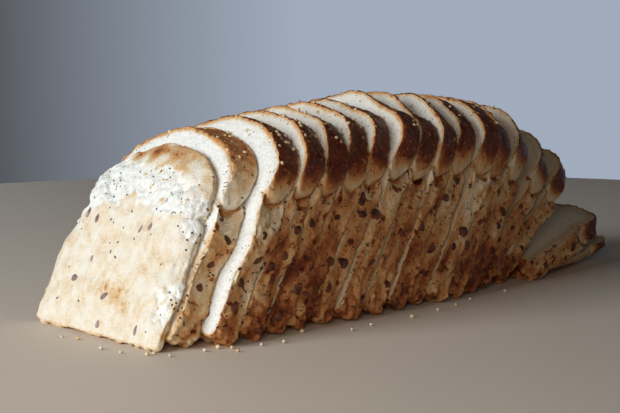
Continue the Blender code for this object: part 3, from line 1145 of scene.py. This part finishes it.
def rim_seeds(number):
    """Seeded places on the crust of a slice: place, sizes and turn."""
    rng = random.Random(500 + number)
    thick = thickness(number)
    spots = []

    def try_rim(low, high, side, part):
        index = side * rng.randint(low, high)
        sizes = (rng.uniform(*SEED_LENGTH), rng.uniform(*SEED_WIDTH), rng.uniform(*SEED_PROUD))
        length, width, proud = (value * part for value in sizes)
        turn = rng.uniform(0, math.pi)
        reach = math.hypot(length * math.sin(turn), width * math.cos(turn)) + SEED_CLEAR
        if 2 * reach > thick:
            return
        w = rng.uniform(reach, thick - reach)
        flat = np.array([outline(number, w, CAD_STEPS)[index]])
        place = np.append(lifted(number, flat, w)[0], w)
        if all(np.linalg.norm(place - other[0]) > SEED_SPACING for other in spots):
            spots.append((place, (length, width, proud), turn))

    wall_from = 3 + CAD_STEPS[0] + 1
    wall_to = wall_from + CAD_STEPS[1] - 1
    dome_from = wall_to + 4
    dome_to = dome_from + CAD_STEPS[2] - 2
    for side in (1, -1):
        for _ in range(SEEDS_A_SIDE):
            try_rim(wall_from, wall_to, side, 1.0)
        for _ in range(SEEDS_ON_DOME):
            try_rim(dome_from, dome_to, side, DOME_SEED_PART)
    return spots


def heel_seeds(number):
    middle = middle_of(number)
    spots = []
    if number == 1:
        for u, v, length, width, degrees in FRONT_HEEL_SEEDS:
            flat = np.array([(u, v)])
            ring = np.linalg.norm(flat[0] - middle) / (SLICES[0][2] * SLICE_HEIGHT * 0.5)
            place = np.append(flat[0], heel_depth(1, flat, min(ring, 1.0))[0])
            spots.append((place, (length, width, HEEL_SEED_PROUD), math.radians(degrees)))
        return spots
    rng = random.Random(500 + number)
    for _ in range(SEEDS_ON_BACK_HEEL):
        angle = rng.uniform(0, math.tau)
        ring = math.sqrt(rng.uniform(0.0, HEEL_SEED_REACH))
        reach = SLICES[number - 1][2] * FOOT_HALF * ring
        flat = middle + np.array((math.cos(angle), math.sin(angle))) * reach
        size = (rng.uniform(*SEED_LENGTH), rng.uniform(*SEED_WIDTH), rng.uniform(*SEED_PROUD))
        place = np.append(flat, -heel_depth(number, flat[None, :], ring)[0])
        if all(np.linalg.norm(place - other[0]) > SEED_SPACING for other in spots):
            spots.append((place, size, rng.uniform(0, math.pi)))
    return spots


print("big seeds in slice 5", len(rim_seeds(5)), "and in the front heel", len(heel_seeds(1)))

# %% Set the big seeds into the skins
def nearest_on_skin(number, place):
    skin = skins[number]
    gap = np.linalg.norm(skin["points"] - place, axis=2)
    gap[~skin["crust"]] += 1.0
    row, spot = np.unravel_index(np.argmin(gap), gap.shape)
    return skin["points"][row, spot], skin["out"][row, spot]


BIG_SINK = 0.6
VEIL_SINK = 0.25
taken = []
for number in NUMBERS:
    heel = number in (1, BACK_HEEL)
    kind = veiled if number == 1 else big
    guide = slice_axes(number)[1 if heel else 2]
    sink = VEIL_SINK if number == 1 else BIG_SINK
    for place, size, turn in heel_seeds(number) if heel else rim_seeds(number):
        spot, out = nearest_on_skin(number, to_loaf(number, place[None, :])[0])
        kind.add(spot, out, size, turn, size[2] * sink, guide)
        taken.append(spot)
print("big seeds from the solids", len(taken))

# %% [markdown]
# More big seeds show on the long wall, mostly low down. Each is given by the place in the picture
# where it is seen, and a ray from the camera through that place finds the crust that carries it.

# %% Big seeds seen in the picture
SEEN_SEEDS = (
    (225, 246), (220, 271), (256, 256), (270, 265), (268, 280), (257, 287), (276, 238), (245, 309),
    (233, 319), (257, 330), (297, 290), (307, 299), (315, 258), (303, 266), (330, 260), (343, 262),
    (355, 262), (363, 199), (376, 214), (392, 232), (398, 239), (380, 287), (396, 304), (403, 289),
    (430, 255), (436, 184), (445, 196), (455, 217), (463, 232), (432, 280), (427, 263), (468, 246),
    (478, 216), (482, 228), (502, 210), (505, 206), (521, 204), (507, 258), (520, 202), (485, 285),
    (360, 322), (340, 318), (278, 318), (291, 325), (375, 318),
)
SEEN_APART = 0.0060
SEEN_SINK = 0.42
SEEN_LENGTH = (0.0030, 0.0042)
SEEN_WIDTH = (0.0022, 0.0031)
SEEN_PROUD = (0.0012, 0.0015)
FACES_NEAR_SIDE = -0.6


def picture_ray(across, down):
    """Direction from the camera through a place in the picture."""
    right = look.cross(Vector((0, 0, 1))).normalized()
    up = right.cross(look)
    side = right * (across - PICTURE_WIDE / 2)
    return (look * FOCAL_PIXELS + side - up * (down - PICTURE_HIGH / 2)).normalized()


def skin_tree():
    """All skins as one search tree, with the slice that each face belongs to."""
    points = []
    faces = []
    owners = []
    for number, skin in skins.items():
        row_count, count = skin["rise"].shape
        own = [tuple(spot + len(points) for spot in face) for face in loop_faces(row_count, count)]
        points.extend(with_tips(skin["points"]).tolist())
        faces.extend(own)
        owners.extend([number] * len(own))
    return BVHTree.FromPolygons(points, faces), owners


tree, owners = skin_tree()
rng = random.Random(19)
seen = 0
for across, down in SEEN_SEEDS:
    place, out, face, _ = tree.ray_cast(EYE, picture_ray(across, down))
    size = (rng.uniform(*SEEN_LENGTH), rng.uniform(*SEEN_WIDTH), rng.uniform(*SEEN_PROUD))
    turn = rng.uniform(0, math.pi)
    if place is None or out.y > FACES_NEAR_SIDE:
        continue
    spot = np.array(place)
    if all(np.linalg.norm(spot - other) > SEEN_APART for other in taken):
        big.add(spot, np.array(out), size, turn, size[2] * SEEN_SINK, slice_axes(owners[face])[2])
        taken.append(spot)
        seen += 1
print("big seeds placed by the picture", seen)

# %% Small grains seen in the picture
SEEN_MILLET = (
    (228, 133), (277, 132), (279, 135), (285, 136), (288, 143), (282, 163), (300, 123), (301, 126),
    (343, 117), (369, 117), (412, 106), (414, 125), (247, 131), (262, 128), (318, 112), (355, 120),
)
SEEN_POPPY = (
    (176, 303), (179, 306), (174, 309), (181, 301), (171, 300), (178, 311), (172, 305), (182, 308),
    (183, 232), (187, 240), (196, 243), (206, 226), (178, 226), (192, 233), (186, 250), (200, 236),
)
MILLET_RADIUS = 0.00095
POPPY_RADIUS = 0.00048
for kind, spots, radius in (
        (millet, SEEN_MILLET, MILLET_RADIUS), (poppy, SEEN_POPPY, POPPY_RADIUS)):
    for across, down in spots:
        place, out, face, _ = tree.ray_cast(EYE, picture_ray(across, down))
        if place is not None:
            kind.add(np.array(place), np.array(out), (radius * 1.1, radius, radius * 0.9), 0.0)
print("small grains placed by the picture", len(SEEN_MILLET) + len(SEEN_POPPY))

# %% [markdown]
# Small seeds are drawn at random points of the skins: on walls, on domes, and on the cut faces,
# where the knife has sliced through them and they lie flush.

# %% Small seeds
def scatter(kind, number, wanted, count, rng, look_of):
    """Lay seeds of a kind on random points of a slice where wanted is true."""
    skin = skins[number]
    length, width, height, sink = look_of
    spots = np.argwhere(wanted)
    if len(spots) == 0:
        return
    for row, spot in spots[rng.integers(0, len(spots), count)]:
        size = (rng.uniform(*length) * 0.5, rng.uniform(*width) * 0.5, height * 0.5)
        place = skin["points"][row, spot]
        kind.add(place, skin["out"][row, spot], size, rng.uniform(0, math.pi), height * sink)


# Least and most length, least and most width, height, and share of it in the bread
WALL_SEED = ((0.0011, 0.0026), (0.0008, 0.0014), 0.0009, 0.25)
DOME_SEED = ((0.0010, 0.0020), (0.0007, 0.0011), 0.0008, 0.2)
FACE_SEED = ((0.0009, 0.0024), (0.0004, 0.0009), 0.0005, 0.30)
TOP_MILLET = ((0.0017, 0.0021), (0.0016, 0.0020), 0.0017, 0.1)
TOP_FLAKE = ((0.0016, 0.0034), (0.0010, 0.0018), 0.0005, 0.0)
DOME_FLAKE = ((0.0014, 0.0026), (0.0008, 0.0014), 0.0005, 0.05)
TORN_POPPY = ((0.0009, 0.0011), (0.0008, 0.0010), 0.0009, 0.1)
TORN_MILLET = ((0.0018, 0.0025), (0.0012, 0.0017), 0.0014, 0.2)
FACE_BAND = (0.0012, 0.026)
WALL_BAND = (0.001, 0.070)

rng = np.random.default_rng(77)
for number in NUMBERS:
    skin = skins[number]
    crust, rise, from_rim = skin["crust"], skin["rise"], skin["from_rim"]
    wall = crust & (rise < WALL_BAND[1]) & (rise > WALL_BAND[0])
    dome = crust & (rise > 0.076)
    high = crust & (rise > 0.096)
    face = (from_rim > FACE_BAND[0]) & (from_rim < FACE_BAND[1])
    wall_count, dome_count = (22, 8) if number == 1 else (64, 14)
    scatter(small, number, wall, wall_count, rng, WALL_SEED)
    scatter(small, number, dome, dome_count, rng, DOME_SEED)
    scatter(small, number, face, 150, rng, FACE_SEED)
    if number > 1:
        scatter(millet, number, high, 16 if number < 6 else 7, rng, TOP_MILLET)
        scatter(flakes, number, high, 22, rng, TOP_FLAKE)
    scatter(flakes, number, dome, 8, rng, DOME_FLAKE)
torn_spots = skins[1]["torn"] > 0.6
scatter(poppy, 1, torn_spots, 40, rng, TORN_POPPY)
scatter(millet, 1, torn_spots, 26, rng, TORN_MILLET)
print("small seeds", len(small.points))

# %% [markdown]
# A few grains of millet and some crumbs fell off when the loaf was cut, and lie at its foot.

# %% Loose grains
LOOSE_MILLET = (
    (78, 340), (77, 349), (147, 356), (154, 355), (218, 349), (232, 349), (238, 352), (329, 345),
    (302, 333), (393, 357), (412, 318), (456, 306),
)
LOOSE_CRUMBS = (
    (62, 338), (101, 350), (121, 354), (170, 357), (205, 352), (262, 346), (284, 343), (352, 331),
    (371, 326), (438, 311), (470, 300), (505, 292),
)
LOOSE_REACH_X = 0.018
LOOSE_REACH_Y = 0.011


def on_floor(across, down):
    """The floor under a place in the picture, and whether it is close to the loaf."""
    way = picture_ray(across, down)
    place = EYE + way * (-EYE.z / way.z)
    near_x = cad_low.x - LOOSE_REACH_X < place.x < cad_high.x + LOOSE_REACH_X
    near_y = cad_low.y - LOOSE_REACH_Y < place.y < cad_high.y + LOOSE_REACH_Y
    return np.array((place.x, place.y, 0.0)), near_x and near_y


loose = 0
for kind, spots in ((millet, LOOSE_MILLET), (crumbs, LOOSE_CRUMBS)):
    for across, down in spots:
        place, inside = on_floor(across, down)
        size = np.array((1.1, 1.0, 0.95)) * MILLET_RADIUS * rng.uniform(0.8, 1.1)
        turn = rng.uniform(0, math.pi)
        if inside:
            place[2] = size[2]
            kind.add(place, np.array((0.0, 0.0, 1.0)), size, turn)
            loose += 1
print("loose grains and crumbs", loose)

# %% Finish of the seeds
SEED_SHINE = 0.25
SEED_TONES = (260.0, 3.0)
SEED_GRAIN = 1500.0


def seed_material(name, dark, light, roughness):
    material, board, finish = new_material(name)
    place = board.put("TexCoord").outputs["Object"]
    tone = board.spread(board.noise(place, *SEED_TONES), 0.35, 0.65)
    color = board.blend(tone, (*dark, 1.0), (*light, 1.0))
    board.wire(color, finish["Base Color"])
    finish["Roughness"].default_value = roughness
    finish["Specular IOR Level"].default_value = SEED_SHINE
    grain = board.bump(board.noise(place, SEED_GRAIN), 0.0002, 0.5)
    board.wire(grain, finish["Normal"])
    return material


big.make(seed_material("dark_seed_skin", (0.040, 0.015, 0.009), (0.20, 0.060, 0.030), 0.45))
veiled.make(seed_material("veiled_seed_skin", (0.17, 0.10, 0.105), (0.40, 0.30, 0.27), 0.45))
small.make(seed_material("small_seed_skin", (0.035, 0.018, 0.013), (0.14, 0.060, 0.030), 0.5))
poppy.make(seed_material("poppy_skin", (0.010, 0.010, 0.013), (0.030, 0.028, 0.032), 0.5))
millet.make(seed_material("millet_skin", (0.62, 0.46, 0.24), (0.80, 0.66, 0.42), 0.5))
flakes.make(seed_material("flake_skin", (0.24, 0.11, 0.042), (0.60, 0.38, 0.18), 0.5))
crumbs.make(seed_material("crumb_bit", (0.66, 0.56, 0.40), (0.84, 0.78, 0.64), 0.9))
